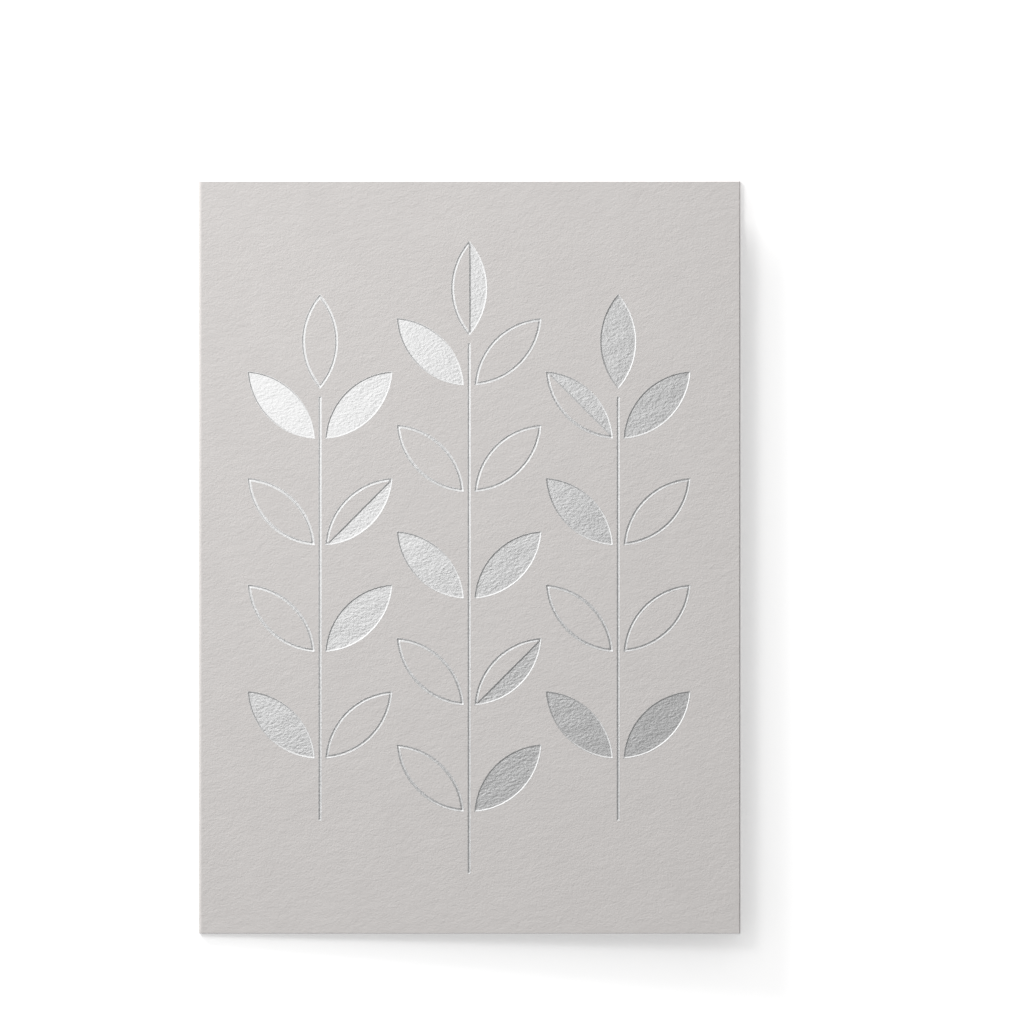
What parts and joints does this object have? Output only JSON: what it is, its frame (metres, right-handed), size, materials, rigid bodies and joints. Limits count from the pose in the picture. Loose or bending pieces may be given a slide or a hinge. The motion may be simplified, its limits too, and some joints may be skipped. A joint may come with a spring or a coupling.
{
  "type": "greeting card",
  "caption": "Portrait folded greeting card of thick soft stock, sprung slightly open at its free edge, with pressed leaf sprigs lined in silver foil on its cover.",
  "frame": {"origin": "middle of the underside of the back panel, at the centre of the closed outline", "axes": "+X from the fold to the free edge, +Y up the cover, +Z out of the cover"},
  "size_m": [0.1142, 0.1588, 0.0065],
  "materials": {
    "card_stock": "uncoated, felt-marked, matte",
    "silver_foil": "satin hot-stamped foil that takes the grain of the stock"
  },
  "bodies": {
    "root": {"card": "card_stock", "foil": "silver_foil"}
  },
  "joints": []
}
